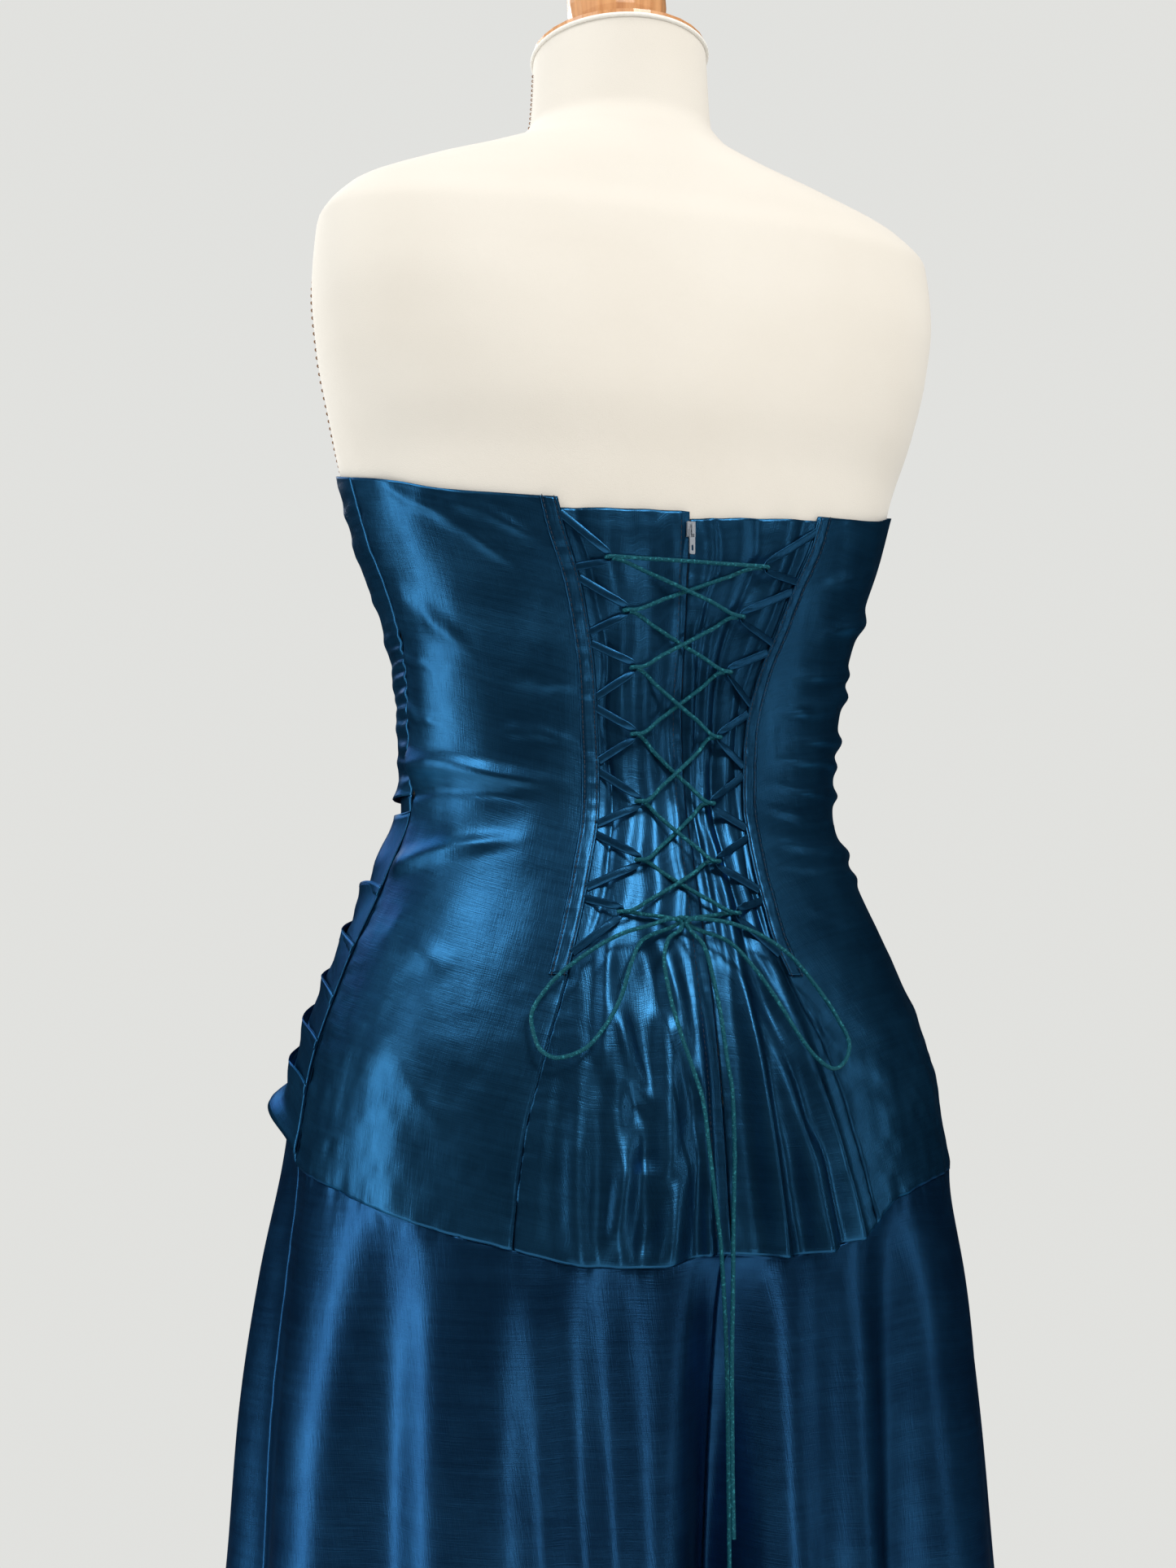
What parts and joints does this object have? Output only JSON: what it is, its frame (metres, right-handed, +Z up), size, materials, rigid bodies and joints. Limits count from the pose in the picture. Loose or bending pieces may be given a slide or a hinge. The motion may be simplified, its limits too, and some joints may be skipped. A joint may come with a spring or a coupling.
{
  "type": "strapless corset dress on a limbless dress form with a pole stand",
  "caption": "Floor-length strapless gown, corset-laced at the back with a draped front, worn by a limbless dress form on a round-footed stand.",
  "frame": {"origin": "centre of the stand base's flat underside, on the pole's axis", "axes": "+Z up, +Y out of the wearer's back, +X to the wearer's left"},
  "size_m": [0.5726, 0.5185, 1.6269],
  "materials": {
    "form_jersey": "matte stretched jersey",
    "lace": "waxed round cord",
    "stand_metal": "satin",
    "taffeta": "shot taffeta with a satin sheen",
    "varnished_wood": "varnished",
    "zip_metal": "polished"
  },
  "bodies": {
    "dress": {"centre_back_left": "taffeta", "centre_back_right": "taffeta", "form_torso": "form_jersey", "front_bodice": "taffeta", "front_drape": "taffeta", "front_hip": "taffeta", "lace_bow_left": "lace", "lace_bow_right": "lace", "lace_end_left": "lace", "lace_end_right": "lace", "lace_knot": "lace", "lace_woven": "lace", "lacing_strip_left": "taffeta", "lacing_strip_right": "taffeta", "loop_left_1": "taffeta", "loop_left_2": "taffeta", "loop_left_3": "taffeta", "loop_left_4": "taffeta", "loop_left_5": "taffeta", "loop_left_6": "taffeta", "loop_left_7": "taffeta", "loop_right_1": "taffeta", "loop_right_2": "taffeta", "loop_right_3": "taffeta", "loop_right_4": "taffeta", "loop_right_5": "taffeta", "loop_right_6": "taffeta", "loop_right_7": "taffeta", "neck_cap": "varnished_wood", "neck_knob": "varnished_wood", "side_back_left": "taffeta", "side_back_right": "taffeta", "skirt_back_left": "taffeta", "skirt_back_right": "taffeta", "skirt_front": "taffeta", "stand_base": "stand_metal", "stand_pole": "stand_metal", "zip_chain": "zip_metal", "zip_slider": "zip_metal"},
    "zip_pull": {"zip_pull_tab": "zip_metal"}
  },
  "joints": [
    {"name": "zip_pull_hinge", "type": "hinge", "parent": "dress", "child": "zip_pull", "pos_m": [0, 0.12746, 1.2175], "axis": [1, 0, 0], "range_deg": [0, 150]}
  ]
}
